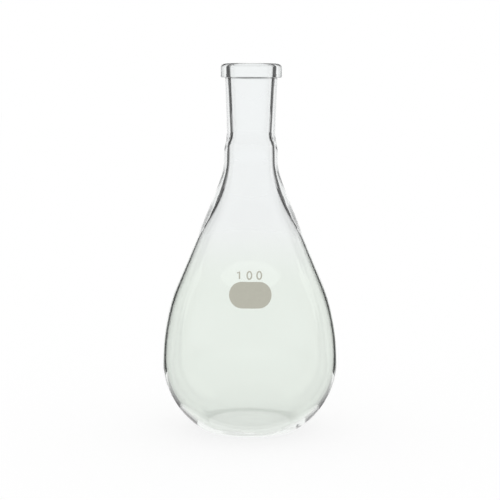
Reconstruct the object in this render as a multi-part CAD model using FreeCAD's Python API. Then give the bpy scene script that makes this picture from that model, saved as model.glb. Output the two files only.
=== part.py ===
"""Flat-bottom recovery flask for 100 ml, blown in one piece of clear borosilicate glass.

The flask is a pear-shaped bulb with a flattened base, a shoulder where the glass swells, a
short plain neck and a conical socket that ends in a fire-polished flange. A patch of enamel
is fired onto the front of the bulb for writing on.

Millimetres. The origin is the centre of the base on the surface that the flask stands on,
+Z runs up the flask's axis, and the marking spot faces -Y.
"""

import FreeCAD
import Part
import math
import os

# Bulb, outside
bulb_radius = 31.2
equator_height = 25.2
base_flat_radius = 14.9
heel_radius = 6.0
upper_arc_radius = 71.9
cone_angle = math.radians(22.3)

# Shoulder and neck, outside: a gentle bend, then a tight one into the plain neck
gentle_bend_radius = 122.0
gentle_bend_turn = math.radians(4.4)
tight_bend_radius = 16.1
neck_radius = 9.5
neck_length = 2.2
outer_step_height = 8.4

# Conical socket: 15 mm wide at the mouth and narrowing by 1 mm in 10
socket_mouth_diameter = 15.0
socket_taper = 0.1
socket_length = 23.7
socket_wall_at_mouth = 1.85
socket_wall_at_foot = 2.18
inner_step_height = 5.8
inner_step_lag = 0.3

# Flange: a rounded lip, a straight side, and a hollow underside that runs into the socket
flange_projection = 1.4
flange_height = 5.02
flange_edge_turn = 0.46
flange_underside_height = 3.13
flange_fillet_reach = 2.49
lip_height = 1.35
lip_width = 2.25

# Walls of the bulb, the cone, the neck and the base
bulb_wall = 1.0
cone_wall = 1.0
neck_wall = 2.0
base_wall = 1.8
lower_wall_gain = 1.0
inner_heel_radius = 5.0

# Swelling of the glass inside the shoulder, from the cone up into the neck
swell_length = 15.5
swell_rise = 2.5
swell_cone_reach = 13.8
swell_neck_reach = 16.0

# Marking spot: a rounded patch of enamel, seen from the front, a hair clear of the glass
spot_width = 14.4
spot_height = 8.6
spot_centre_height = 52.1
enamel_thickness = 0.1
enamel_clearance = 0.06

# Share of the way to its corner that each handle of a rounded quarter curve reaches
QUARTER_PULL = 0.5523


def point(r, z):
    """A point of the section, at radius r and height z."""
    return FreeCAD.Vector(r, 0, z)


def line(start, end):
    """A straight stretch of the section."""
    return Part.LineSegment(start, end).toShape()


def on_circle(centre, radius, angle):
    """The point of a circle at an angle above the horizontal."""
    return centre + point(radius * math.cos(angle), radius * math.sin(angle))


def arc(centre, radius, start_angle, end_angle):
    """A round stretch of the section, between two angles above the horizontal."""
    middle = (start_angle + end_angle) / 2
    ends = [on_circle(centre, radius, a) for a in (start_angle, middle, end_angle)]
    return Part.Arc(*ends).toShape()


def curve(start, start_handle, end_handle, end):
    """A smooth stretch that leaves and arrives along its two handles."""
    bezier = Part.BezierCurve()
    bezier.setPoles([start, start_handle, end_handle, end])
    return bezier.toShape()


def rounded_corner(start, corner, end):
    """A quarter curve that touches both sides of a corner."""
    return curve(start, start + (corner - start) * QUARTER_PULL,
                 end + (corner - end) * QUARTER_PULL, end)


def end_of(edge):
    """The last point of a stretch."""
    return edge.valueAt(edge.LastParameter)


def start_of(edge):
    """The first point of a stretch."""
    return edge.valueAt(edge.FirstParameter)


def joined(edges):
    """The stretches with a straight line across each gap between one and the next."""
    whole = [edges[0]]
    for edge in edges[1:]:
        if end_of(whole[-1]).distanceToPoint(start_of(edge)) > 1e-6:
            whole.append(line(end_of(whole[-1]), start_of(edge)))
        whole.append(edge)
    return whole


# Heights and radii that follow from the sizes above
gentle_start = cone_angle - gentle_bend_turn
cone_foot = point(bulb_radius - upper_arc_radius * (1 - math.cos(cone_angle)),
                  equator_height + upper_arc_radius * math.sin(cone_angle))
tight_foot_radius = neck_radius + tight_bend_radius * (1 - math.cos(gentle_start))
cone_top_radius = (tight_foot_radius
                   + gentle_bend_radius * (math.cos(gentle_start) - math.cos(cone_angle)))
cone_top = point(cone_top_radius,
                 cone_foot.z + (cone_foot.x - cone_top_radius) / math.tan(cone_angle))
tight_foot_height = (cone_top.z + gentle_bend_radius
                     * (math.sin(cone_angle) - math.sin(gentle_start)))
neck_foot_height = tight_foot_height + tight_bend_radius * math.sin(gentle_start)
neck_top_height = neck_foot_height + neck_length
step_top_height = neck_top_height + outer_step_height
socket_foot_height = step_top_height - inner_step_lag
top_height = socket_foot_height + socket_length


def socket_inside(z):
    """Radius of the conical bore at a height."""
    return (socket_mouth_diameter - socket_taper * (top_height - z)) / 2


def socket_outside(z):
    """Radius of the outside of the socket at a height."""
    share = (top_height - z) / socket_length
    wall = socket_wall_at_mouth + (socket_wall_at_foot - socket_wall_at_mouth) * share
    return socket_inside(z) + wall


flange_radius = socket_outside(top_height) + flange_projection


def bulb_outside():
    """Outside of the bulb: base, heel, lower arc, and upper arc to the foot of the cone."""
    reach = bulb_radius - base_flat_radius
    rise = equator_height - heel_radius
    lower_arc_radius = (reach ** 2 + rise ** 2 - heel_radius ** 2) / (2 * (reach - heel_radius))
    lower_centre = point(bulb_radius - lower_arc_radius, equator_height)
    heel_centre = point(base_flat_radius, heel_radius)
    to_heel = heel_centre - lower_centre
    heel_angle = math.atan2(to_heel.z, to_heel.x)
    upper_centre = point(bulb_radius - upper_arc_radius, equator_height)
    return lower_arc_radius, [
        line(point(0, 0), point(base_flat_radius, 0)),
        arc(heel_centre, heel_radius, -math.pi / 2, heel_angle),
        arc(lower_centre, lower_arc_radius, heel_angle, 0),
        arc(upper_centre, upper_arc_radius, 0, cone_angle),
    ]


def shoulder_and_neck_outside():
    """Outside of the two bends of the shoulder, the plain neck and the step to the socket."""
    gentle_centre = cone_top + point(gentle_bend_radius * math.cos(cone_angle),
                                     gentle_bend_radius * math.sin(cone_angle))
    tight_centre = point(neck_radius + tight_bend_radius, neck_foot_height)
    neck_top = point(neck_radius, neck_top_height)
    step_top = point(socket_outside(step_top_height), step_top_height)
    lower_handle = point(neck_radius, neck_top_height + outer_step_height / 3)
    upper_handle_height = step_top_height - outer_step_height / 3
    upper_handle = point(socket_outside(upper_handle_height), upper_handle_height)
    return [
        arc(gentle_centre, gentle_bend_radius, math.pi + cone_angle, math.pi + gentle_start),
        arc(tight_centre, tight_bend_radius, math.pi + gentle_start, math.pi),
        curve(neck_top, lower_handle, upper_handle, step_top),
    ]


def flange():
    """The flange from the end of its underside, over the lip and into the mouth."""
    side_foot = point(flange_radius, top_height - flange_height)
    under_height = side_foot.z - flange_underside_height
    under = point(socket_outside(under_height), under_height)
    side_handle = side_foot - point(0, flange_edge_turn)
    under_handle_height = under_height + flange_fillet_reach
    under_handle = point(socket_outside(under_handle_height), under_handle_height)
    lip_foot_height = top_height - lip_height
    crown = point(flange_radius - lip_width, top_height)
    mouth = point(socket_inside(lip_foot_height), lip_foot_height)
    return [
        curve(under, under_handle, side_handle, side_foot),
        rounded_corner(point(flange_radius, lip_foot_height), point(flange_radius, crown.z), crown),
        rounded_corner(crown, point(mouth.x, crown.z), mouth),
    ]


def socket_and_neck_inside():
    """The bore from the foot of the cone of the socket to the inside of the plain neck."""
    neck_inside = neck_radius - neck_wall
    socket_foot = point(socket_inside(socket_foot_height), socket_foot_height)
    neck_height = socket_foot_height - inner_step_height
    upper_handle_height = socket_foot_height - inner_step_height / 3
    upper_handle = point(socket_inside(upper_handle_height), upper_handle_height)
    lower_handle = point(neck_inside, neck_height + inner_step_height / 3)
    return [curve(socket_foot, upper_handle, lower_handle, point(neck_inside, neck_height))]


def shoulder_and_bulb_inside(lower_arc_radius):
    """Inside of the shoulder's swell, the cone, the bulb and the base, down to the axis."""
    inward = point(-math.cos(cone_angle), -math.sin(cone_angle))
    down_the_cone = point(math.sin(cone_angle), -math.cos(cone_angle))
    wall_top = cone_top + inward * cone_wall
    swell_foot = wall_top + down_the_cone * swell_length
    swell_top = point(neck_radius - neck_wall, neck_foot_height + swell_rise)

    bulb_inside = bulb_radius - bulb_wall
    upper_radius = ((math.cos(cone_angle) * (wall_top.x - bulb_inside)
                     + math.sin(cone_angle) * (wall_top.z - equator_height))
                    / (1 - math.cos(cone_angle)))
    upper_centre = point(bulb_inside - upper_radius, equator_height)

    lower_radius = lower_arc_radius - bulb_wall - lower_wall_gain
    lower_centre = point(bulb_inside - lower_radius, equator_height)
    heel_height = base_wall + inner_heel_radius
    heel_drop = equator_height - heel_height
    heel_reach = math.sqrt((lower_radius - inner_heel_radius) ** 2 - heel_drop ** 2)
    heel_centre = point(lower_centre.x + heel_reach, heel_height)
    heel_angle = -math.atan2(heel_drop, heel_reach)
    return [
        curve(swell_top, swell_top - point(0, swell_neck_reach),
              swell_foot - down_the_cone * swell_cone_reach, swell_foot),
        arc(upper_centre, upper_radius, cone_angle, 0),
        arc(lower_centre, lower_radius, 0, heel_angle),
        arc(heel_centre, inner_heel_radius, heel_angle, -math.pi / 2),
        line(point(heel_centre.x, base_wall), point(0, base_wall)),
    ]


def make_flask():
    """The blown glass body, as one section turned about the axis."""
    lower_arc_radius, section = bulb_outside()
    section += shoulder_and_neck_outside()
    section += flange()
    section += socket_and_neck_inside()
    section += shoulder_and_bulb_inside(lower_arc_radius)
    section.append(line(point(0, base_wall), point(0, 0)))
    face = Part.Face(Part.Wire(joined(section)))
    return face.revolve(FreeCAD.Vector(0, 0, 0), FreeCAD.Vector(0, 0, 1), 360)


def make_marking_spot():
    """The enamel patch: a thin skin over the bulb and cone, cut to a rounded outline."""
    centre = point(bulb_radius - upper_arc_radius, equator_height)
    outward = point(math.cos(cone_angle), math.sin(cone_angle))
    slope = point(-math.sin(cone_angle), math.cos(cone_angle))
    inner_radius = upper_arc_radius + enamel_clearance
    outer_radius = inner_radius + enamel_thickness
    skin_top = on_circle(centre, inner_radius, cone_angle) + slope * spot_width
    skin = joined([
        arc(centre, inner_radius, 0, cone_angle),
        line(skin_top, skin_top + outward * enamel_thickness),
        arc(centre, outer_radius, cone_angle, 0),
        line(on_circle(centre, outer_radius, 0), on_circle(centre, inner_radius, 0)),
    ])
    shell = Part.Face(Part.Wire(skin)).revolve(FreeCAD.Vector(0, 0, 0), FreeCAD.Vector(0, 0, 1), 360)

    end_radius = spot_height / 2
    reach = spot_width / 2 - end_radius
    left = point(-reach, spot_centre_height)
    right = point(reach, spot_centre_height)
    quarter = math.pi / 2
    outline = joined([
        arc(right, end_radius, -quarter, quarter),
        arc(left, end_radius, quarter, 3 * quarter),
        line(left - point(0, end_radius), right - point(0, end_radius)),
    ])
    stamp = Part.Face(Part.Wire(outline)).extrude(FreeCAD.Vector(0, -2 * bulb_radius, 0))
    return shell.common(stamp).Solids[0]


def main():
    """Build both pieces and write one file for each."""
    os.makedirs("parts", exist_ok=True)
    for name, shape in (("flask", make_flask()), ("marking_spot", make_marking_spot())):
        shape.exportStep("parts/" + name + ".step")
        box = shape.optimalBoundingBox()
        print("%s: volume %.1f mm3, height %.2f to %.2f mm, half width %.2f mm, valid %s"
              % (name, shape.Volume, box.ZMin, box.ZMax, box.XMax, shape.isValid()))


main()
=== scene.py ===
"""Flat-bottom recovery flask of clear glass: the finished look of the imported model.

The glass is turned from one section by a node tree, the enamel print is wrapped onto the
front of the bulb, and a pale stage with a camera shows the flask from the photograph's side.
Metres throughout. The flask stands on z = 0 with its axis on Z, and its front faces -Y.
"""

import math

import bmesh
import bpy
from bpy.props import FloatProperty, FloatVectorProperty, IntProperty, PointerProperty
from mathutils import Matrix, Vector


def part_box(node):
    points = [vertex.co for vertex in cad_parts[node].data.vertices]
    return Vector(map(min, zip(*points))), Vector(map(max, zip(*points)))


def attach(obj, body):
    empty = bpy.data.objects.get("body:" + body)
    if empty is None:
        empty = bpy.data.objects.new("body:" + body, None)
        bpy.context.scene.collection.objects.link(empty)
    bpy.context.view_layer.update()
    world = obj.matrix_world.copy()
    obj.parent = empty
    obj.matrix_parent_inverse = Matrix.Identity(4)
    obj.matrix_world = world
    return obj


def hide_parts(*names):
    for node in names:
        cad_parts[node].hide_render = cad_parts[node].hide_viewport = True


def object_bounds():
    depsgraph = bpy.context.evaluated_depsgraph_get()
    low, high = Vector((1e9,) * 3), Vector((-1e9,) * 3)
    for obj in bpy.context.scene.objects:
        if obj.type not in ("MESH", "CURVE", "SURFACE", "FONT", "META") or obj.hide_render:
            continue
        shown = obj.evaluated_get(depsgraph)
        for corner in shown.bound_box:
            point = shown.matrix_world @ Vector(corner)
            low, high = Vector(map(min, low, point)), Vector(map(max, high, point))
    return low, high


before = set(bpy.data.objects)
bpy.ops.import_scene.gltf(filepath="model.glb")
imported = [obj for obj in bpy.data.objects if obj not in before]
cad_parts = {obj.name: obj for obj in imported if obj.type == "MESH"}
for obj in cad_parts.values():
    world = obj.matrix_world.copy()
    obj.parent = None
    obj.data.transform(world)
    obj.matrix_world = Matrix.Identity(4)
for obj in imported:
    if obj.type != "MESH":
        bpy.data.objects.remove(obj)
CAD_LOW, CAD_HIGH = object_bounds()
SPOT_LOW, SPOT_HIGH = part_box("marking_spot")

bl_info = {
    "name": "Recovery flask",
    "version": (1, 0, 0),
    "blender": (4, 5, 0),
    "location": "3D View > Sidebar > Flask",
    "description": "Builds a blown glass recovery flask with its enamel print and a pale stage",
    "category": "Object",
}

MM = 0.001
# Share of the way to its corner that each handle of a rounded quarter curve reaches
QUARTER_PULL = 0.5523

# Least number of parts in a round stretch of the section, and in a curved one
ARC_PARTS = 3
CURVE_PARTS = 4
# Closer than this, points of the section, the turned glass or the print are one
SECTION_WELD = 0.0001 * MM
GLASS_WELD = 0.001 * MM
PRINT_WELD = 0.0005 * MM
# How many slow waves, and how many ripples, a metre of glass has room for
WAVES_PER_METRE = 45.0
RIPPLES_PER_METRE = 190.0
# In thicknesses of the base: where the waves reach their full height, and where the ripples
# begin to fade and are gone
WAVES_FULL = 0.9
RIPPLES_FADE = 1.2
RIPPLES_GONE = 3.0

# Shares of the spot's half height at which its rings lie, from the edge in, and how much of
# the enamel's thickness each of the first three has
SPOT_EDGE_SHARES = (1.0, 1.0, 0.985, 0.955, 0.9)
SPOT_EDGE_LIFTS = (0.0, 0.6, 0.9)
# One point in so many of a ring lies along each straight side of the spot
SPOT_STRAIGHT = 6
# How far the flag of the one drops, per width
FLAG_DROP = 0.75
# Shares of the enamel's colour in its dark and in its pale mottles
MOTTLE_DARK = 0.95
MOTTLE_PALE = 1.05

# Light Path counts above these mean light mirrored at least once, or bent at least twice
MIRRORED_ONCE = 0.5
BENT_TWICE = 1.5
# How steeply the back cards' near edge runs into its step: height per width
CARD_RAMP = 1.5
CIRCLE_POINTS = 96
SCREEN_PARTS = 60
VALANCE_PARTS = 32

# Layout of a node tree in the editor
NODES_IN_ROW = 12
NODE_WIDTH = 200
NODE_HEIGHT = 220


def metres(name, value, description):
    """A size property in metres."""
    return FloatProperty(name=name, description=description, default=value,
                         subtype="DISTANCE", unit="LENGTH", precision=5)


def length(name, millimetres, description):
    """The same, written here in millimetres."""
    return metres(name, millimetres * MM, description)


def turn(name, degrees, description):
    """An angle property, written here in degrees."""
    return FloatProperty(name=name, description=description, default=math.radians(degrees),
                         subtype="ANGLE", unit="ROTATION")


def number(name, value, description):
    """A plain number property."""
    return FloatProperty(name=name, description=description, default=value)


def paint(name, colour, description):
    """A colour property."""
    return FloatVectorProperty(name=name, description=description, default=colour,
                               subtype="COLOR", size=3, min=0.0, max=1.0)


class FlaskGlassSettings(bpy.types.PropertyGroup):
    """Sizes of the blown glass section and of the mesh that is turned from it."""

    bulb_radius: metres("Bulb radius", CAD_HIGH.x, "Widest outside radius of the bulb")
    equator_height: length("Equator height", 25.2, "Height of the widest part of the bulb")
    base_flat_radius: length("Base radius", 14.9, "Radius of the flat that the flask stands on")
    heel_radius: length("Heel radius", 6.0, "Rounding between the flat base and the bulb")
    upper_arc_radius: length("Upper arc radius", 71.9, "Curvature of the bulb above its equator")
    cone_angle: turn("Cone angle", 22.3, "Slope of the straight part of the shoulder")
    gentle_bend_radius: length("Gentle bend radius", 122.0, "Curvature above the cone")
    gentle_bend_turn: turn("Gentle bend turn", 4.4, "How far the gentle bend turns")
    tight_bend_radius: length("Tight bend radius", 16.1, "Bend from the shoulder to the neck")
    neck_radius: length("Neck radius", 9.5, "Outside radius of the plain neck")
    neck_length: length("Neck length", 2.2, "Length of the plain neck")
    outer_step_height: length("Outer step", 8.4, "Height of the step between neck and socket")
    inner_step_height: length("Inner step", 5.8, "Height of the same step inside")
    inner_step_lag: length("Inner step lag", 0.3, "How far lower the step begins inside")
    socket_mouth_radius: length("Socket mouth radius", 7.5, "Radius of the bore at the mouth")
    socket_length: length("Socket length", 23.7, "Length of the tapered bore")
    socket_taper: number("Socket taper", 0.1, "Change of the bore's width per unit of length")
    socket_wall_at_mouth: length("Socket wall at mouth", 1.85, "Wall at the top of the socket")
    socket_wall_at_foot: length("Socket wall at foot", 2.18, "Wall at the foot of the socket")
    flange_projection: length("Flange projection", 1.4, "How far the flange stands out")
    flange_height: length("Flange height", 4.95, "From the lip down to the end of its side")
    flange_edge: length("Flange edge", 0.3, "Rounding of the flange's lower edge")
    flange_fillet: length("Flange fillet", 0.3, "Rounding between its underside and the slope")
    flange_underside: length("Flange underside", 3.13, "Height of the slope below the flange")
    flange_slope: length("Flange slope", 0.08, "How far that slope stands out at its top")
    lip_height: length("Lip height", 1.35, "Height of the rounded lip")
    lip_width: length("Lip width", 2.25, "From the side of the flange in to the lip's crown")
    bulb_wall: length("Bulb wall", 1.0, "Wall at the equator")
    cone_wall: length("Cone wall", 1.0, "Wall along the cone")
    lower_wall_gain: length("Lower wall gain", 1.0, "How much the wall grows towards the base")
    base_wall: length("Base wall", 1.8, "Thickness of the base")
    inner_heel_radius: length("Inner heel radius", 5.0, "Rounding of the heel inside")
    swell_length: length("Swell length", 15.5, "From the cone's top down to the swell's foot")
    swell_rise: length("Swell rise", 2.5, "From the foot of the neck up to the swell's top")
    swell_cone_reach: length("Swell reach on the cone", 13.8, "How far the cone leads the swell")
    swell_neck_reach: length("Swell reach in the neck", 16.0, "How far the neck leads the swell")
    neck_wall: length("Neck wall", 2.0, "Wall of the plain neck")
    segments: IntProperty(
        name="Segments", description="Faces around the axis", default=192, min=24)
    waviness: length("Waviness", 0.02, "Height of the slow waves left by blowing")
    base_ripple: length("Base ripple", 0.3, "Height of the ripples inside the base")
    seed: IntProperty(name="Seed", description="Choice of the waves", default=3)
    # The bulb's tint is darker than the neck's: painted shade on top of the glass's own faint
    # green
    tint: paint("Tint", (0.944, 0.973, 0.94), "Colour of the glass surface")
    top_tint: paint("Top tint", (0.985, 0.995, 0.995), "Colour of the glass surface in the neck")
    bulb_shade_fade_low: length("Tint foot", 50.0, "Height where the tint begins to change")
    bulb_shade_fade_high: length("Tint head", 78.0, "Height where the tint of the neck is reached")
    body_tint: paint(
        "Body tint", (0.86, 0.95, 0.91), "Colour of the light that thick glass lets through")
    body_density: number("Body density", 8.0, "Absorption of the glass, per metre")
    ior: number("Refractive index", 1.474, "Of borosilicate glass")


class FlaskPrintSettings(bpy.types.PropertyGroup):
    """Sizes and colour of the enamel fired onto the front."""

    spot_width: metres("Spot width", SPOT_HIGH.x - SPOT_LOW.x, "Width of the marking spot")
    spot_height: metres(
        "Spot height", SPOT_HIGH.z - SPOT_LOW.z, "Height of the marking spot, seen from the front")
    spot_centre: metres(
        "Spot centre", (SPOT_HIGH.z + SPOT_LOW.z) / 2, "Height of the middle of the marking spot")
    thickness: length("Enamel thickness", 0.09, "How far the enamel stands on the glass")
    seat: length("Enamel seat", 0.01, "Gap that keeps the enamel's back off the glass")
    figure_height: length("Figure height", 2.95, "Height of the capacity figures")
    figure_width: length("Figure width", 2.0, "Width of a nought")
    figure_pitch: length("Figure pitch", 3.35, "Distance from one figure to the next")
    figure_stroke: length("Figure stroke", 0.48, "Width of the printed line")
    figure_centre: length("Figure centre", 58.5, "Height of the middle of the figures")
    figure_aside: length("Figures aside", -0.35, "How far the figures stand to one side")
    colour: paint("Enamel colour", (0.49, 0.485, 0.41), "Warm grey of the fired enamel")


class FlaskStageSettings(bpy.types.PropertyGroup):
    """The camera and the pale studio around the flask."""

    camera_distance: length("Camera distance", 500.0, "From the axis to the camera")
    camera_height: length("Camera height", 125.5, "Of the camera above the floor")
    camera_aside: length("Camera aside", -0.45, "How far the camera stands to one side")
    camera_tilt: turn("Camera tilt", 6.97, "How far the camera looks down")
    camera_roll: turn("Camera roll", -0.27, "How far the camera leans")
    camera_lens: number("Lens", 101.9, "Focal length in millimetres on a 36 mm wide sensor")
    card_near: length("Card near edge", 54.0, "Sideways from the axis to the card's near edge")
    card_near_back: length("Card near edge, back", 63.0, "Behind the axis to the same edge")
    card_wide: length("Card wide edge", 82.0, "Sideways from the axis to the card's wide edge")
    card_wide_back: length("Card wide edge, back", 60.0, "Behind the axis to the same edge")
    card_top_wide: length("Card wide edge at the rim", 120.0, "The same, level with the rim")
    card_top_foot: length("Card rim part foot", 104.0, "Height where the wider part begins")
    card_height: length("Card height", 260.0, "Height of the dark cards")
    card_step: length("Card step", 6.0, "How far the near edge steps in beside the cone")
    card_step_low: length("Card step foot", 42.0, "Height where that step begins")
    card_step_high: length("Card step top", 82.0, "Height where that step ends")
    screen_radius: length("Screen radius", 450.0, "Of the dark screen round the camera's side")
    screen_height: length("Screen height", 700.0, "Height of the dark screen")
    mat_height: length("Mat height", 0.3, "Height of the dark mat above the floor")
    mat_gap: length("Mat gap", 33.0, "From the axis to the mat, beside the flask")
    mat_gap_behind: length("Mat gap behind", 95.0, "From the axis to the mat, further back")
    mat_front_cut: number("Mat front cut", 0.35, "How much nearer the mat comes in front")
    mat_side: turn("Mat side", 52.0, "From straight behind to where the mat comes near")
    screen_side: turn("Screen side", 30.0, "From straight behind to where the screen begins")
    left_tone: number("Left tone", 0.38, "Brightness of the studio on the left")
    right_tone: number("Right tone", 0.52, "Brightness of the studio on the right")
    tone_reach: length("Tone reach", 100.0, "Sideways from the axis to where each is reached")
    side_front: length("Side front", -60.0, "How far behind the axis the side tones begin")
    side_back: length("Side back", 20.0, "How far behind the axis they have taken over")
    screen_foot: paint(
        "Screen foot", (0.15, 0.15, 0.15), "Colour of the screen's foot, which the base mirrors")
    screen_band: paint(
        "Screen band", (0.42, 0.43, 0.46), "Colour of the band that the neck mirrors")
    screen_top: paint("Screen top", (0.3, 0.3, 0.32), "Colour of the part that the cone mirrors")
    band_low: length("Band foot", 60.0, "Height on the screen where the band begins")
    band_high: length("Band head", 130.0, "Height on the screen where the band ends")
    top_foot: length("Top foot", 330.0, "Height on the screen where its top begins")
    ceiling_radius: length("Ceiling radius", 560.0, "Size of the dark ceiling")
    ceiling_height: length("Ceiling height", 600.0, "Of the dark ceiling above the floor")
    valance_foot: length("Valance foot", 290.0, "Height where the dark wall behind begins")
    valance_side: turn("Valance side", 75.0, "From straight behind to that wall's ends")
    upper_card_near: length("Upper card near edge", 88.0, "Sideways from the axis to it")
    upper_card_wide: length("Upper card wide edge", 102.0, "Sideways from the axis to it")
    upper_card_depth: length("Upper card depth", 150.0, "Behind the axis to the upper card")
    upper_card_low: length("Upper card foot", 118.0, "Height of the upper card's foot")
    upper_card_high: length("Upper card top", 156.0, "Height of the upper card's top")
    card_tone: number("Card tone", 0.05, "Brightness of the dark cards")
    floor_radius: length("Floor radius", 4000.0, "Size of the floor")
    floor_own_light: number(
        "Floor own light", 0.85, "Share of the floor's white that no shadow takes")
    base_shade: number("Base shade", 0.16, "How much darker the floor looks through the base")
    base_shade_radius: length("Base shade radius", 17.0, "Where that shade begins to fade")
    base_shade_fade: length("Base shade fade", 6.0, "Width over which it fades")


def point(r, z):
    """A point of the section, at radius r and height z."""
    return Vector((r, z))


def arc(centre, radius, start, end, step):
    """Points of a round stretch from one angle to another, about step apart."""
    count = max(ARC_PARTS, round(abs(end - start) * radius / step))
    turns = [start + (end - start) * i / count for i in range(count + 1)]
    return [centre + point(radius * math.cos(a), radius * math.sin(a)) for a in turns]


def curve(start, start_handle, end_handle, end, step):
    """Points of a smooth stretch that leaves and arrives along its two handles."""
    count = max(CURVE_PARTS, round((end - start).length / step))
    points = []
    for i in range(count + 1):
        t = i / count
        s = 1 - t
        points.append(start * s ** 3 + start_handle * 3 * s * s * t
                      + end_handle * 3 * s * t * t + end * t ** 3)
    return points


def rounded_corner(start, corner, end, step):
    """Points of a quarter curve that touches both sides of a corner."""
    return curve(start, start + (corner - start) * QUARTER_PULL,
                 end + (corner - end) * QUARTER_PULL, end, step)


def line(start, end, step):
    """Points of a straight stretch."""
    count = max(1, round((end - start).length / step))
    return [start.lerp(end, i / count) for i in range(count + 1)]


def joined(stretches, step):
    """All stretches as one row of points, with a straight line across each gap."""
    points = list(stretches[0])
    for stretch in stretches[1:]:
        if (stretch[0] - points[-1]).length > SECTION_WELD:
            points += line(points[-1], stretch[0], step)[1:]
        points += stretch[1:]
    return points


class GlassSection:
    """The flask's wall in section, worked out from its sizes."""

    def __init__(self, s):
        self.s = s
        lean = s.cone_angle
        self.gentle_start = lean - s.gentle_bend_turn
        self.cone_foot = point(s.bulb_radius - s.upper_arc_radius * (1 - math.cos(lean)),
                               s.equator_height + s.upper_arc_radius * math.sin(lean))
        top_radius = (s.neck_radius + s.tight_bend_radius * (1 - math.cos(self.gentle_start))
                      + s.gentle_bend_radius * (math.cos(self.gentle_start) - math.cos(lean)))
        rise = (self.cone_foot.x - top_radius) / math.tan(lean)
        self.cone_top = point(top_radius, self.cone_foot.y + rise)
        self.neck_foot = (self.cone_top.y + s.tight_bend_radius * math.sin(self.gentle_start)
                          + s.gentle_bend_radius * (math.sin(lean) - math.sin(self.gentle_start)))
        self.neck_top = self.neck_foot + s.neck_length
        self.step_top = self.neck_top + s.outer_step_height
        self.socket_foot = self.step_top - s.inner_step_lag
        self.top = self.socket_foot + s.socket_length

    def socket_inside(self, z):
        """Radius of the tapered bore at a height."""
        return self.s.socket_mouth_radius - self.s.socket_taper * (self.top - z) / 2

    def socket_outside(self, z):
        """Radius of the outside of the socket at a height."""
        share = (self.top - z) / self.s.socket_length
        growth = self.s.socket_wall_at_foot - self.s.socket_wall_at_mouth
        return self.socket_inside(z) + self.s.socket_wall_at_mouth + growth * share

    def front(self, z):
        """Outside radius of the bulb or cone at a height, and the slope of its normal."""
        s = self.s
        if z < self.cone_foot.y:
            lean = math.asin((z - s.equator_height) / s.upper_arc_radius)
            return s.bulb_radius - s.upper_arc_radius * (1 - math.cos(lean)), lean
        return self.cone_foot.x - (z - self.cone_foot.y) * math.tan(s.cone_angle), s.cone_angle

    def bulb_outside(self):
        """Base, heel and bulb, up to the foot of the cone."""
        s = self.s
        reach = s.bulb_radius - s.base_flat_radius
        rise = s.equator_height - s.heel_radius
        radius = (reach ** 2 + rise ** 2 - s.heel_radius ** 2) / (2 * (reach - s.heel_radius))
        self.lower_arc_radius = radius
        lower = point(s.bulb_radius - radius, s.equator_height)
        heel = point(s.base_flat_radius, s.heel_radius)
        to_heel = heel - lower
        heel_angle = math.atan2(to_heel.y, to_heel.x)
        upper = point(s.bulb_radius - s.upper_arc_radius, s.equator_height)
        return [
            line(point(0, 0), point(s.base_flat_radius, 0), step=1.2 * MM),
            arc(heel, s.heel_radius, -math.pi / 2, heel_angle, step=0.45 * MM),
            arc(lower, radius, heel_angle, 0, step=0.75 * MM),
            arc(upper, s.upper_arc_radius, 0, s.cone_angle, step=0.8 * MM),
        ]

    def shoulder_and_neck_outside(self):
        """The two bends of the shoulder, the plain neck and the step to the socket."""
        s = self.s
        lean = s.cone_angle
        gentle = self.cone_top + point(math.cos(lean), math.sin(lean)) * s.gentle_bend_radius
        tight = point(s.neck_radius + s.tight_bend_radius, self.neck_foot)
        neck_top = point(s.neck_radius, self.neck_top)
        foot = point(self.socket_outside(self.step_top), self.step_top)
        lower_handle = neck_top + point(0, s.outer_step_height / 3)
        handle_height = self.step_top - s.outer_step_height / 3
        upper_handle = point(self.socket_outside(handle_height), handle_height)
        return [
            arc(gentle, s.gentle_bend_radius, math.pi + lean, math.pi + self.gentle_start,
                step=0.8 * MM),
            arc(tight, s.tight_bend_radius, math.pi + self.gentle_start, math.pi, step=0.4 * MM),
            curve(neck_top, lower_handle, upper_handle, foot, step=0.35 * MM),
        ]

    def flange(self):
        """From under the flange's side, over the domed lip and into the mouth."""
        s = self.s
        radius = self.socket_outside(self.top) + s.flange_projection
        corner = point(radius, self.top - s.flange_height)
        inner = point(self.socket_outside(corner.y) + s.flange_slope, corner.y)
        under_height = corner.y - s.flange_underside
        under = point(self.socket_outside(under_height), under_height)
        slope_top = inner + (under - inner).normalized() * s.flange_fillet
        lip_foot = point(radius, self.top - s.lip_height)
        crown = point(radius - s.lip_width, self.top)
        mouth = point(self.socket_inside(lip_foot.y), lip_foot.y)
        return [
            line(under, slope_top, step=0.4 * MM),
            rounded_corner(slope_top, inner, inner + point(s.flange_fillet, 0), step=0.05 * MM),
            rounded_corner(corner - point(s.flange_edge, 0), corner,
                           corner + point(0, s.flange_edge), step=0.05 * MM),
            rounded_corner(lip_foot, point(radius, self.top), crown, step=0.1 * MM),
            rounded_corner(crown, point(mouth.x, self.top), mouth, step=0.08 * MM),
        ]

    def socket_and_neck_inside(self):
        """The step inside, from the foot of the tapered bore to the plain neck."""
        s = self.s
        foot = point(self.socket_inside(self.socket_foot), self.socket_foot)
        neck = point(s.neck_radius - s.neck_wall, self.socket_foot - s.inner_step_height)
        handle_height = self.socket_foot - s.inner_step_height / 3
        upper_handle = point(self.socket_inside(handle_height), handle_height)
        lower_handle = neck + point(0, s.inner_step_height / 3)
        return [curve(foot, upper_handle, lower_handle, neck, step=0.3 * MM)]

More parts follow.
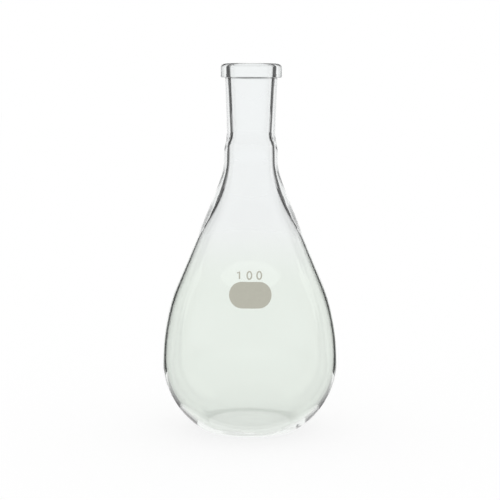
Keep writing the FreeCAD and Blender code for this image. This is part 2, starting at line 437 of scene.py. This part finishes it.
    def shoulder_and_bulb_inside(self):
        """Shoulder, cone, bulb and base inside, down to the axis."""
        s = self.s
        lean = s.cone_angle
        inward = point(-math.cos(lean), -math.sin(lean))
        down = point(math.sin(lean), -math.cos(lean))
        wall_top = self.cone_top + inward * s.cone_wall
        swell_foot = wall_top + down * s.swell_length
        swell_top = point(s.neck_radius - s.neck_wall, self.neck_foot + s.swell_rise)

        bulb_inside = s.bulb_radius - s.bulb_wall
        upper_radius = ((math.cos(lean) * (wall_top.x - bulb_inside)
                         + math.sin(lean) * (wall_top.y - s.equator_height))
                        / (1 - math.cos(lean)))
        upper = point(bulb_inside - upper_radius, s.equator_height)

        lower_radius = self.lower_arc_radius - s.bulb_wall - s.lower_wall_gain
        lower = point(bulb_inside - lower_radius, s.equator_height)
        heel_height = s.base_wall + s.inner_heel_radius
        drop = s.equator_height - heel_height
        reach = math.sqrt((lower_radius - s.inner_heel_radius) ** 2 - drop ** 2)
        heel = point(lower.x + reach, heel_height)
        heel_angle = -math.atan2(drop, reach)
        return [
            curve(swell_top, swell_top - point(0, s.swell_neck_reach),
                  swell_foot - down * s.swell_cone_reach, swell_foot, step=0.7 * MM),
            arc(upper, upper_radius, lean, 0, step=0.8 * MM),
            arc(lower, lower_radius, 0, heel_angle, step=0.75 * MM),
            arc(heel, s.inner_heel_radius, heel_angle, -math.pi / 2, step=0.4 * MM),
            line(point(heel.x, s.base_wall), point(0, s.base_wall), step=0.7 * MM),
        ]

    def outline(self):
        """The whole section, from the axis under the base to the axis inside it."""
        stretches = self.bulb_outside()
        stretches += self.shoulder_and_neck_outside()
        stretches += self.flange()
        stretches += self.socket_and_neck_inside()
        stretches += self.shoulder_and_bulb_inside()
        return joined(stretches, step=1.4 * MM)


class TreeMaker:
    """Adds nodes to a tree from left to right and joins them."""

    def __init__(self, tree):
        self.tree = tree

    def add(self, kind, inputs=None, **settings):
        """A node with its settings, and with its inputs set or linked."""
        node = self.tree.nodes.new(kind)
        row, column = divmod(len(self.tree.nodes), NODES_IN_ROW)
        node.location = (column * NODE_WIDTH, -row * NODE_HEIGHT)
        for name, value in settings.items():
            setattr(node, name, value)
        for key, value in (inputs or {}).items():
            socket = node.inputs[key]
            if isinstance(value, bpy.types.NodeSocket):
                self.tree.links.new(value, socket)
            else:
                socket.default_value = value
        return node

    def maths(self, operation, *values):
        """The result of a Math node."""
        return self.add("ShaderNodeMath", dict(enumerate(values)), operation=operation).outputs[0]

    def on_object(self):
        """The place on the object."""
        return self.add("ShaderNodeTexCoord").outputs["Object"]

    def parts(self, place):
        """The X, Y and Z of a place."""
        return self.add("ShaderNodeSeparateXYZ", {0: place}).outputs

    def span(self, value, low, high, first=0.0, last=1.0, **settings):
        """A number that goes from first to last while the value goes from low to high."""
        return self.add("ShaderNodeMapRange", {"Value": value, "From Min": low, "From Max": high,
                                               "To Min": first, "To Max": last},
                        **settings).outputs[0]

    def blend(self, share, first, last):
        """A colour that goes from first to last while the share goes from 0 to 1."""
        return self.add("ShaderNodeMix", {0: share, 6: first, 7: last},
                        data_type="RGBA").outputs[2]


def turned_glass_tree():
    """A node tree that turns a section about Z and gives it the slow waves of blown glass."""
    tree = bpy.data.node_groups.new("Turned glass", "GeometryNodeTree")
    for name, kind in (("Section", "NodeSocketGeometry"), ("Segments", "NodeSocketInt"),
                       ("Waviness", "NodeSocketFloat"), ("Base ripple", "NodeSocketFloat"),
                       ("Inside height", "NodeSocketFloat"), ("Seed", "NodeSocketFloat"),
                       ("Material", "NodeSocketMaterial")):
        tree.interface.new_socket(name=name, in_out="INPUT", socket_type=kind)
    tree.interface.new_socket(name="Glass", in_out="OUTPUT", socket_type="NodeSocketGeometry")
    maker = TreeMaker(tree)
    given = maker.add("NodeGroupInput").outputs

    size = maker.add("GeometryNodeAttributeDomainSize", {"Geometry": given["Section"]})
    columns = maker.maths("ADD", given["Segments"], 1)
    grid = maker.add("GeometryNodeMeshGrid",
                     {"Vertices X": size.outputs["Point Count"], "Vertices Y": columns})
    index = maker.add("GeometryNodeInputIndex").outputs[0]
    row = maker.maths("FLOOR", maker.maths("DIVIDE", index, columns))
    column = maker.maths("SUBTRACT", index, maker.maths("MULTIPLY", row, columns))
    position = maker.add("GeometryNodeInputPosition").outputs[0]
    sample = maker.add("GeometryNodeSampleIndex",
                       {"Geometry": given["Section"], "Index": row}, data_type="FLOAT_VECTOR")
    tree.links.new(position, sample.inputs["Value"])
    section = maker.parts(sample.outputs[0])
    angle = maker.maths("DIVIDE", maker.maths("MULTIPLY", column, math.tau), given["Segments"])
    x = maker.maths("MULTIPLY", section["X"], maker.maths("SINE", angle))
    y = maker.maths("MULTIPLY", section["X"], maker.maths("COSINE", angle))
    place = maker.add("ShaderNodeCombineXYZ", {"X": x, "Y": y, "Z": section["Z"]}).outputs[0]
    turned = maker.add("GeometryNodeSetPosition", {"Geometry": grid.outputs["Mesh"],
                                                   "Position": place})
    closed = maker.add("GeometryNodeMergeByDistance",
                       {"Geometry": turned.outputs[0], "Distance": GLASS_WELD})

    normal = maker.add("GeometryNodeInputNormal").outputs[0]
    slow, fine = [maker.add("ShaderNodeTexNoise",
                            {"Scale": scale, "Detail": 0.0, "W": given["Seed"]},
                            noise_dimensions="4D").outputs[0]
                  for scale in (WAVES_PER_METRE, RIPPLES_PER_METRE)]
    # Noise runs from 0 to 1, so the waves only ever draw the glass in
    waves = maker.maths("MULTIPLY", maker.maths("SUBTRACT", slow, 1.0), given["Waviness"])
    height_here = maker.parts(position)["Z"]
    fading, gone, full = [maker.maths("MULTIPLY", given["Inside height"], share)
                          for share in (RIPPLES_FADE, RIPPLES_GONE, WAVES_FULL)]
    low = maker.span(height_here, fading, gone, 1.0, 0.0)
    off_floor = maker.span(height_here, 0.0, full)
    ripple = maker.maths("MULTIPLY", maker.maths("SUBTRACT", fine, 0.5), given["Base ripple"])
    ripple = maker.maths("MULTIPLY", ripple, maker.maths("MULTIPLY", low, off_floor))
    height = maker.maths("ADD", maker.maths("MULTIPLY", waves, off_floor), ripple)
    offset = maker.add("ShaderNodeVectorMath", {0: normal, "Scale": height}, operation="SCALE")
    waved = maker.add("GeometryNodeSetPosition", {"Geometry": closed.outputs[0],
                                                  "Offset": offset.outputs[0]})
    smooth = maker.add("GeometryNodeSetShadeSmooth", {"Geometry": waved.outputs[0]})
    real = maker.add("GeometryNodeRealizeInstances", {"Geometry": smooth.outputs[0]})
    made = maker.add("GeometryNodeSetMaterial", {"Geometry": real.outputs[0],
                                                 "Material": given["Material"]})
    maker.add("NodeGroupOutput", {0: made.outputs[0]})
    return tree


def empty_material(name):
    """A material without nodes and a maker for them."""
    material = bpy.data.materials.new(name)
    material.use_nodes = True
    material.node_tree.nodes.clear()
    return material, TreeMaker(material.node_tree)


def surface_material(name):
    """A material with a Principled shader and a maker for its other nodes."""
    material, maker = empty_material(name)
    shader = maker.add("ShaderNodeBsdfPrincipled")
    output = maker.add("ShaderNodeOutputMaterial", {"Surface": shader.outputs[0]})
    return material, maker, shader, output


def glass_material(settings):
    """Clear borosilicate, faintly green, with painted shade that darkens the bulb and fades out in
    the neck.
    """
    material, maker, shader, output = surface_material("Clear glass")
    height = maker.parts(maker.on_object())["Z"]
    # Painted shade: the glass colour goes from the darker bulb tint to the clear neck tint
    share = maker.span(height, settings.bulb_shade_fade_low, settings.bulb_shade_fade_high,
                       interpolation_type="SMOOTHSTEP")
    tint = maker.blend(share, (*settings.tint, 1.0), (*settings.top_tint, 1.0))
    maker.tree.links.new(tint, shader.inputs["Base Color"])
    shader.inputs["Roughness"].default_value = 0.0
    shader.inputs["IOR"].default_value = settings.ior
    shader.inputs["Transmission Weight"].default_value = 1.0
    body = maker.add("ShaderNodeVolumeAbsorption",
                     {"Color": (*settings.body_tint, 1.0), "Density": settings.body_density})
    maker.tree.links.new(body.outputs[0], output.inputs["Volume"])
    return material


def enamel_material(settings):
    """Fired enamel: warm grey with a fine mottle and a nearly matt, faintly uneven skin."""
    material, maker, shader, _ = surface_material("Fired enamel")
    place = maker.on_object()
    mottle = maker.add("ShaderNodeTexNoise", {"Vector": place, "Scale": 900.0, "Detail": 3.0})
    colour = Vector(settings.colour)
    tint = maker.blend(mottle.outputs[0], (*(colour * MOTTLE_DARK), 1.0),
                       (*(colour * MOTTLE_PALE), 1.0))
    grain = maker.add("ShaderNodeTexNoise", {"Vector": place, "Scale": 5000.0, "Detail": 2.0})
    bump = maker.add("ShaderNodeBump", {"Height": grain.outputs[0], "Strength": 0.3,
                                        "Distance": 0.02 * MM})
    maker.tree.links.new(tint, shader.inputs["Base Color"])
    maker.tree.links.new(bump.outputs[0], shader.inputs["Normal"])
    shader.inputs["Roughness"].default_value = 0.55
    shader.inputs["IOR"].default_value = 1.5
    return material


def piece_from(name, mesh, node=None):
    """An object of the flask at the origin, riding on its one body."""
    piece = bpy.data.objects.new(name, mesh)
    bpy.context.scene.collection.objects.link(piece)
    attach(piece, "root")
    if node:
        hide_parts(node)


def plain_mesh(source, name):
    """The result of an object's modifiers as a mesh of its own."""
    bpy.context.view_layer.update()
    evaluated = source.evaluated_get(bpy.context.evaluated_depsgraph_get())
    mesh = bpy.data.meshes.new_from_object(evaluated)
    mesh.name = name
    return mesh


class FLASK_OT_glass(bpy.types.Operator):
    """Turn the glass body of the flask from its section"""

    bl_idname = "flask.glass"
    bl_label = "Glass body"

    def execute(self, context):
        settings = context.scene.flask_glass
        outline = GlassSection(settings).outline()
        mesh = bpy.data.meshes.new("Section")
        edges = [(i, i + 1) for i in range(len(outline) - 1)]
        mesh.from_pydata([(p.x, 0.0, p.y) for p in outline], edges, [])
        source = bpy.data.objects.new("Section", mesh)
        context.scene.collection.objects.link(source)

        tree = turned_glass_tree()
        modifier = source.modifiers.new("Turned glass", "NODES")
        modifier.node_group = tree
        values = {"Segments": settings.segments, "Waviness": settings.waviness,
                  "Base ripple": settings.base_ripple, "Inside height": settings.base_wall,
                  "Seed": float(settings.seed), "Material": glass_material(settings)}
        for item in tree.interface.items_tree:
            if item.name in values:
                modifier[item.identifier] = values[item.name]
        turned = plain_mesh(source, "glass_body")
        bpy.data.objects.remove(source)
        piece_from("glass_body", turned, "flask")
        return {"FINISHED"}


class PrintMaker:
    """Builds closed pieces of enamel that follow the front of the bulb."""

    def __init__(self, section, settings):
        self.section = section
        self.settings = settings
        self.bm = bmesh.new()

    def on_front(self, x, z, lift):
        """The place that far over from the middle and up, lifted off the glass."""
        radius, lean = self.section.front(z)
        turned = math.asin(x / radius)
        out = radius + lift * math.cos(lean)
        return Vector((out * math.sin(turned), -out * math.cos(turned),
                       z + lift * math.sin(lean)))

    def vertex(self, x, z, lift):
        """A new vertex on the front."""
        return self.bm.verts.new(self.on_front(x, z, lift))

    def stroke(self, path, closed):
        """A flat printed line along a path of (x, z) points."""
        half = self.settings.figure_stroke / 2
        bottom = self.settings.seat
        # The figures are half as thick as the spot
        top = bottom + self.settings.thickness / 2
        count = len(path)
        rings = []
        for i, here in enumerate(path):
            before = path[i - 1] if closed or i else here
            after = path[(i + 1) % count] if closed or i < count - 1 else here
            along = (after - before).normalized()
            aside = Vector((-along.y, along.x)) * half
            left, right = here + aside, here - aside
            rings.append([self.vertex(left.x, left.y, bottom), self.vertex(left.x, left.y, top),
                          self.vertex(right.x, right.y, top),
                          self.vertex(right.x, right.y, bottom)])
        following = rings[1:] + rings[:1] if closed else rings[1:]
        for a, b in zip(rings, following):
            for i in range(4):
                self.bm.faces.new((a[i], a[(i + 1) % 4], b[(i + 1) % 4], b[i]))
        if not closed:
            self.bm.faces.new(rings[0])
            self.bm.faces.new(list(reversed(rings[-1])))

    def patch(self, width, height, centre, rows=10, around=120):
        """A rounded patch with a softened edge, wider than it is high."""
        end = height / 2
        reach = width / 2 - end
        bottom = self.settings.seat
        full = self.settings.thickness
        shares = list(SPOT_EDGE_SHARES)
        shares += [shares[-1] * (rows - i) / rows for i in range(1, rows + 1)]
        lifts = list(SPOT_EDGE_LIFTS) + [1.0] * (len(shares) - len(SPOT_EDGE_LIFTS))
        top_rings = [self.patch_ring(share, bottom + full * lift, end, reach, centre, around)
                     for share, lift in zip(shares, lifts)]
        # The back starts within the two rings that stand on the very edge
        back_rings = [self.patch_ring(share, bottom, end, reach, centre, around)
                      for share in shares[2:]]
        rings = list(reversed(back_rings)) + top_rings
        for a, b in zip(rings, rings[1:]):
            for i in range(around):
                j = (i + 1) % around
                self.bm.faces.new((a[i], a[j], b[j], b[i]))

    def patch_ring(self, share, lift, end, reach, centre, around):
        """One ring of the patch, drawn in towards the patch's middle line."""
        ring = []
        straight = around // SPOT_STRAIGHT
        bend = around // 2 - straight
        for side in (1, -1):
            for i in range(bend):
                angle = math.pi * (i / bend - 0.5)
                ring.append(self.vertex(side * (reach + end * share * math.cos(angle)),
                                        centre + side * end * share * math.sin(angle), lift))
            for i in range(straight):
                ring.append(self.vertex(side * reach * (1 - 2 * i / straight),
                                        centre + side * end * share, lift))
        return ring

    def mesh(self, name, material):
        """The finished mesh, closed and facing outwards."""
        bmesh.ops.remove_doubles(self.bm, verts=self.bm.verts, dist=PRINT_WELD)
        bmesh.ops.recalc_face_normals(self.bm, faces=self.bm.faces)
        mesh = bpy.data.meshes.new(name)
        self.bm.to_mesh(mesh)
        self.bm.free()
        mesh.materials.append(material)
        return mesh


def nought(middle, width, height, count=40):
    """The path of a nought: a tall rounded ring."""
    return [middle + Vector((width / 2 * math.cos(math.tau * i / count),
                             height / 2 * math.sin(math.tau * i / count)))
            for i in range(count)]


def one(middle, height, flag):
    """The path of a one: a short flag and an upright."""
    top = middle + Vector((0, height / 2))
    return [top + Vector((-flag, -flag * FLAG_DROP)), top, middle - Vector((0, height / 2))]


class FLASK_OT_print(bpy.types.Operator):
    """Fire the marking spot and the capacity figures onto the front of the bulb"""

    bl_idname = "flask.print"
    bl_label = "Enamel print"

    def execute(self, context):
        settings = context.scene.flask_print
        section = GlassSection(context.scene.flask_glass)
        enamel = enamel_material(settings)

        spot = PrintMaker(section, settings)
        spot.patch(settings.spot_width, settings.spot_height, settings.spot_centre)
        piece_from("marking_patch", spot.mesh("marking_patch", enamel), "marking_spot")

        figures = PrintMaker(section, settings)
        height = settings.figure_height - settings.figure_stroke
        width = settings.figure_width - settings.figure_stroke
        for place in (0, 1):
            middle = Vector((settings.figure_aside + settings.figure_pitch * place,
                             settings.figure_centre))
            figures.stroke(nought(middle, width, height), True)
        middle = Vector((settings.figure_aside - settings.figure_pitch, settings.figure_centre))
        figures.stroke(one(middle, height, width / 2), False)
        piece_from("capacity_figures", figures.mesh("capacity_figures", enamel))
        return {"FINISHED"}


def stage_object(name, mesh, material):
    """An object that belongs to the stage and not to the flask."""
    mesh.materials.append(material)
    placed = bpy.data.objects.new(name, mesh)
    bpy.context.scene.collection.objects.link(placed)
    return placed


def make_floor(settings):
    """A round white floor that keeps the flask's shadow, with a painted shadow under the base that
    only light through the glass sees.
    """
    material, maker = empty_material("Pale floor")
    share = settings.floor_own_light
    matt = maker.add("ShaderNodeBsdfDiffuse", {"Color": (1 - share, 1 - share, 1 - share, 1.0)})
    away = maker.add("ShaderNodeVectorMath", {0: maker.on_object()},
                     operation="LENGTH").outputs["Value"]
    # Painted shadow: under the base the floor's own glow is turned down for light that comes
    # through the glass
    radius = settings.base_shade_radius
    under = maker.span(away, radius, radius + settings.base_shade_fade, settings.base_shade, 0.0)
    through = maker.add("ShaderNodeLightPath").outputs["Is Transmission Ray"]
    kept = maker.maths("SUBTRACT", 1.0, maker.maths("MULTIPLY", under, through))
    own = maker.add("ShaderNodeEmission", {"Strength": maker.maths("MULTIPLY", kept, share)})
    both = maker.add("ShaderNodeAddShader", {0: matt.outputs[0], 1: own.outputs[0]})
    maker.add("ShaderNodeOutputMaterial", {"Surface": both.outputs[0]})
    bm = bmesh.new()
    bmesh.ops.create_circle(bm, cap_ends=True, segments=CIRCLE_POINTS,
                            radius=settings.floor_radius)
    mesh = bpy.data.meshes.new("floor")
    bm.to_mesh(mesh)
    bm.free()
    stage_object("floor", mesh, material)


class StageShape:
    """Gathers the flat and curved faces of one stage mesh."""

    def __init__(self):
        self.vertices = []
        self.faces = []

    def face(self, corners):
        """One flat face."""
        start = len(self.vertices)
        self.vertices += corners
        self.faces.append(range(start, start + len(corners)))

    def strip(self, rows):
        """A curved sheet through rows of as many points each."""
        width = len(rows[0])
        for i, row in enumerate(rows):
            start = len(self.vertices)
            self.vertices += row
            if i:
                self.faces += [(start - width + j, start - width + j + 1, start + j + 1, start + j)
                               for j in range(width - 1)]

    def place(self, name, material):
        """The stage object, which only light turned by the glass can meet."""
        mesh = bpy.data.meshes.new(name)
        mesh.from_pydata(self.vertices, [], self.faces)
        placed = stage_object(name, mesh, material)
        placed.visible_camera = False
        placed.visible_diffuse = False
        placed.visible_shadow = False


def dark_where(maker, wanted, colour, strength):
    """Finish a material that glows weakly for the wanted light and is clear to all other."""
    clear = maker.add("ShaderNodeBsdfTransparent")
    dark = maker.add("ShaderNodeEmission", {"Color": colour, "Strength": strength})
    seen = maker.add("ShaderNodeMixShader", {0: wanted, 1: clear.outputs[0], 2: dark.outputs[0]})
    maker.add("ShaderNodeOutputMaterial", {"Surface": seen.outputs[0]})


def card_material(settings):
    """Dark to mirrored light and, above the cards, also to light that glass has bent twice."""
    material, maker = empty_material("Dark card")
    path = maker.add("ShaderNodeLightPath").outputs
    mirrored = maker.maths("GREATER_THAN", path["Glossy Depth"], MIRRORED_ONCE)
    bent = maker.maths("GREATER_THAN", path["Transmission Depth"], BENT_TWICE)
    height = maker.parts(maker.on_object())["Z"]
    overhead = maker.maths("GREATER_THAN", height, settings.card_height)
    turned = maker.maths("MAXIMUM", mirrored, maker.maths("MULTIPLY", bent, overhead))
    dark_where(maker, turned, (1.0, 1.0, 1.0, 1.0), settings.card_tone)
    return material


def back_card(settings, side):
    """Corners of the tall card behind the flask on one side, its near edge first."""
    near, low, high = settings.card_near, settings.card_step_low, settings.card_step_high
    stepped = near - settings.card_step
    ramp = settings.card_step * CARD_RAMP
    near_edge = ((near, 0.0), (near, low - ramp), (stepped, low), (stepped, high),
                 (near, high + ramp), (near, settings.card_height))
    wide_edge = ((settings.card_top_wide, settings.card_height),
                 (settings.card_top_wide, settings.card_top_foot),
                 (settings.card_wide, settings.card_top_foot), (settings.card_wide, 0.0))
    return ([(side * x, settings.card_near_back, z) for x, z in near_edge]
            + [(side * x, settings.card_wide_back, z) for x, z in wide_edge])


def upper_card(settings, side):
    """Corners of the small card that stands further back, level with the rim."""
    near, wide = settings.upper_card_near, settings.upper_card_wide
    low, high = settings.upper_card_low, settings.upper_card_high
    return [(side * x, settings.upper_card_depth, z)
            for x, z in ((near, low), (near, high), (wide, high), (wide, low))]


def make_cards(settings):
    """Two pairs of dark cards behind the flask, and a dark ceiling with a wall below it."""
    shape = StageShape()
    for side in (1, -1):
        shape.face(back_card(settings, side))
        shape.face(upper_card(settings, side))
    radius, height = settings.ceiling_radius, settings.ceiling_height
    turns = [math.tau * i / CIRCLE_POINTS for i in range(CIRCLE_POINTS)]
    shape.face([(radius * math.cos(a), radius * math.sin(a), height) for a in turns])
    rows = []
    for i in range(VALANCE_PARTS + 1):
        turned = math.pi / 2 + settings.valance_side * (2 * i / VALANCE_PARTS - 1)
        x, y = radius * math.cos(turned), radius * math.sin(turned)
        rows.append([(x, y, settings.valance_foot), (x, y, height)])
    shape.strip(rows)
    shape.place("cards", card_material(settings))


def screen_material(settings):
    """Dark to mirrored light: by height in front, and paler from the sides to the back."""
    material, maker = empty_material("Dark screen")
    place = maker.parts(maker.on_object())
    share = maker.maths("DIVIDE", place["Z"], settings.screen_height)
    front = maker.add("ShaderNodeValToRGB", {"Fac": share})
    stops = ((0.0, settings.screen_foot), (settings.band_low, settings.screen_band),
             (settings.band_high, settings.screen_band), (settings.top_foot, settings.screen_top))
    while len(front.color_ramp.elements) < len(stops):
        front.color_ramp.elements.new(1.0)
    for element, (height, colour) in zip(front.color_ramp.elements, stops):
        element.position = height / settings.screen_height
        element.color = (*colour, 1.0)
    beside = maker.span(place["Y"], settings.side_front, settings.side_back)
    side = maker.span(place["X"], -settings.tone_reach, settings.tone_reach,
                      settings.left_tone, settings.right_tone)
    tone = maker.blend(beside, front.outputs[0], side)
    path = maker.add("ShaderNodeLightPath").outputs
    mirrored = maker.maths("GREATER_THAN", path["Glossy Depth"], MIRRORED_ONCE)
    dark_where(maker, mirrored, tone, 1.0)
    return material


def make_screen(settings):
    """A dark mat round the flask and a screen at its far edge, open behind the flask."""
    radius, foot, side = settings.screen_radius, settings.mat_height, settings.screen_side
    rows = []
    for i in range(SCREEN_PARTS + 1):
        turned = side + (math.tau - 2 * side) * i / SCREEN_PARTS
        x, y = math.sin(turned), math.cos(turned)
        inner = settings.mat_gap * (1 + settings.mat_front_cut * min(0, y))
        if min(turned, math.tau - turned) < settings.mat_side:
            inner = settings.mat_gap_behind
        rows.append([(inner * x, inner * y, foot), (radius * x, radius * y, foot),
                     (radius * x, radius * y, settings.screen_height)])
    shape = StageShape()
    shape.strip(rows)
    shape.place("screen", screen_material(settings))


def make_world():
    """Even white light from everywhere."""
    world = bpy.data.worlds.new("White studio")
    world.use_nodes = True
    world.node_tree.nodes.clear()
    maker = TreeMaker(world.node_tree)
    white = maker.add("ShaderNodeBackground", {"Color": (1.0, 1.0, 1.0, 1.0)})
    maker.add("ShaderNodeOutputWorld", {"Surface": white.outputs[0]})
    bpy.context.scene.world = world


def make_camera(settings):
    """The camera at the photograph's viewpoint."""
    data = bpy.data.cameras.new("Camera")
    data.lens = settings.camera_lens
    data.sensor_width = 36.0
    data.clip_start = 0.01
    data.clip_end = 20.0
    camera = bpy.data.objects.new("Camera", data)
    camera.location = (settings.camera_aside, -settings.camera_distance, settings.camera_height)
    camera.rotation_euler = (math.pi / 2 - settings.camera_tilt, settings.camera_roll, 0.0)
    bpy.context.scene.collection.objects.link(camera)
    bpy.context.scene.camera = camera


class FLASK_OT_stage(bpy.types.Operator):
    """Set the pale stage, its light and the camera"""

    bl_idname = "flask.stage"
    bl_label = "Stage"

    def execute(self, context):
        settings = context.scene.flask_stage
        make_floor(settings)
        make_cards(settings)
        make_screen(settings)
        make_world()
        make_camera(settings)
        scene = context.scene
        scene.view_settings.view_transform = "Standard"
        scene.cycles.max_bounces = 32
        scene.cycles.transmission_bounces = 32
        scene.cycles.glossy_bounces = 16
        scene.cycles.transparent_max_bounces = 32
        return {"FINISHED"}


class FLASK_PT_panel(bpy.types.Panel):
    """Lists the steps that build the flask and its stage"""

    bl_label = "Recovery flask"
    bl_idname = "FLASK_PT_panel"
    bl_space_type = "VIEW_3D"
    bl_region_type = "UI"
    bl_category = "Flask"

    def draw(self, context):
        for step in STEPS:
            self.layout.operator(step.bl_idname)


STEPS = (FLASK_OT_glass, FLASK_OT_print, FLASK_OT_stage)
GROUPS = (FlaskGlassSettings, FlaskPrintSettings, FlaskStageSettings)


def register():
    """Register the settings, the steps and the panel."""
    for kind in GROUPS + STEPS + (FLASK_PT_panel,):
        bpy.utils.register_class(kind)
    bpy.types.Scene.flask_glass = PointerProperty(type=FlaskGlassSettings)
    bpy.types.Scene.flask_print = PointerProperty(type=FlaskPrintSettings)
    bpy.types.Scene.flask_stage = PointerProperty(type=FlaskStageSettings)


def unregister():
    """Take the settings, the steps and the panel out again."""
    del bpy.types.Scene.flask_stage
    del bpy.types.Scene.flask_print
    del bpy.types.Scene.flask_glass
    for kind in reversed(GROUPS + STEPS + (FLASK_PT_panel,)):
        bpy.utils.unregister_class(kind)


def main():
    """Build the flask and its stage."""
    register()
    bpy.ops.flask.glass()
    bpy.ops.flask.print()
    bpy.ops.flask.stage()


if __name__ == "__main__":
    main()
